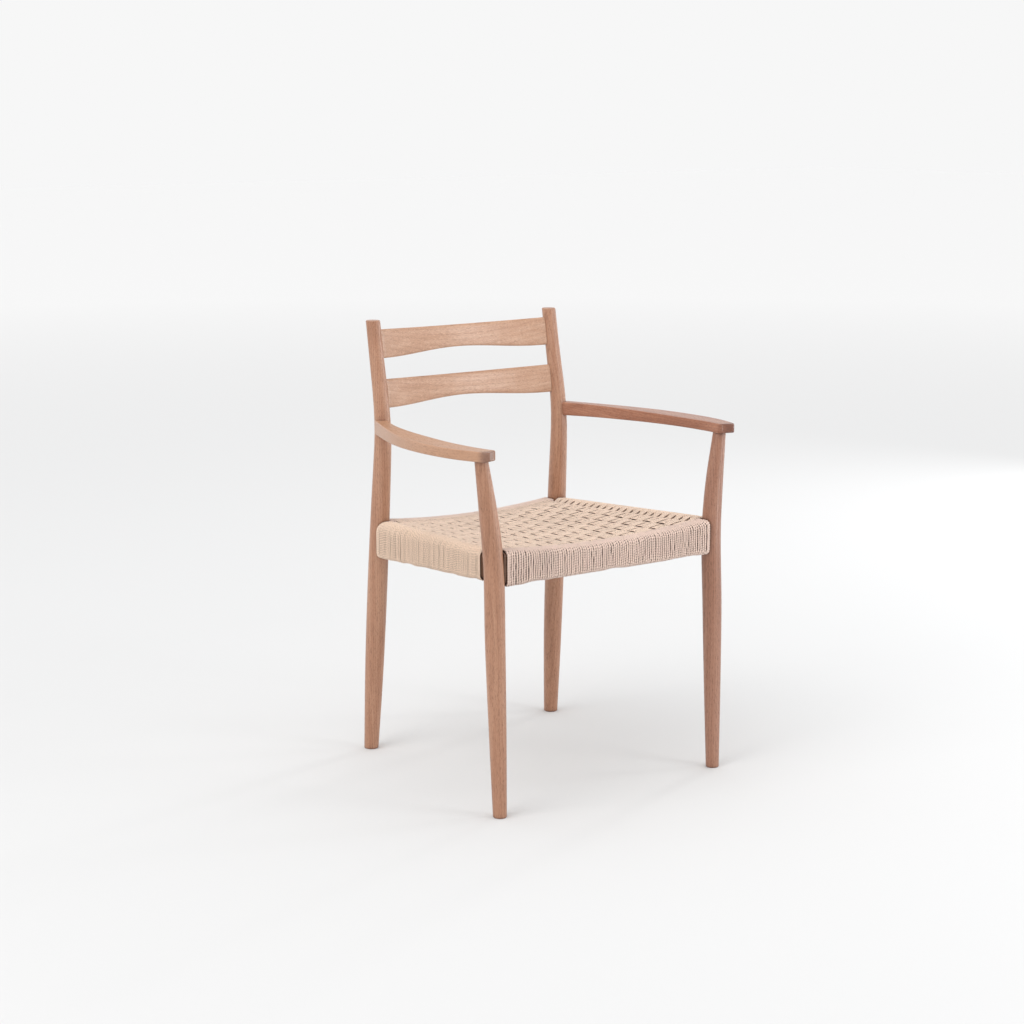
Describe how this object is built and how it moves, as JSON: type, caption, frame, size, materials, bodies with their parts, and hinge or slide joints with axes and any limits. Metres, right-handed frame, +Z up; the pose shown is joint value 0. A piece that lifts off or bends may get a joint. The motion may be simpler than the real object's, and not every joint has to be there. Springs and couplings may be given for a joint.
{
  "type": "armchair",
  "caption": "Dining armchair with turned oak legs, curved armrests, bowed back slats and a seat woven from paper cord over wooden rails.",
  "frame": {"origin": "on the floor, under the middle of the chair's outer box", "axes": "+Z up, the sitter faces -Y, +X is the sitter's left"},
  "size_m": [0.5846, 0.4912, 0.8],
  "materials": {
    "oak": "satin",
    "oak_slat": "satin",
    "oak_inner": "satin",
    "steel": "satin",
    "cord": "matte"
  },
  "bodies": {
    "root": {"leg_front_left": "oak", "leg_front_right": "oak", "post_rear_left": "oak", "post_rear_right": "oak", "arm_left": "oak", "arm_right": "oak", "arm_dowels": "oak_inner", "slat_upper": "oak_slat", "slat_lower": "oak_slat", "seat_rail_front": "oak_inner", "seat_rail_rear": "oak_inner", "seat_rail_left": "oak_inner", "seat_rail_right": "oak_inner", "cord_nails_front": "steel", "cord_nails_rear": "steel", "cord_nails_left": "steel", "cord_nails_right": "steel", "cord_wrap_front": "cord", "cord_wrap_rear": "cord", "cord_wrap_left": "cord", "cord_wrap_right": "cord", "cord_weave": "cord"}
  },
  "joints": []
}
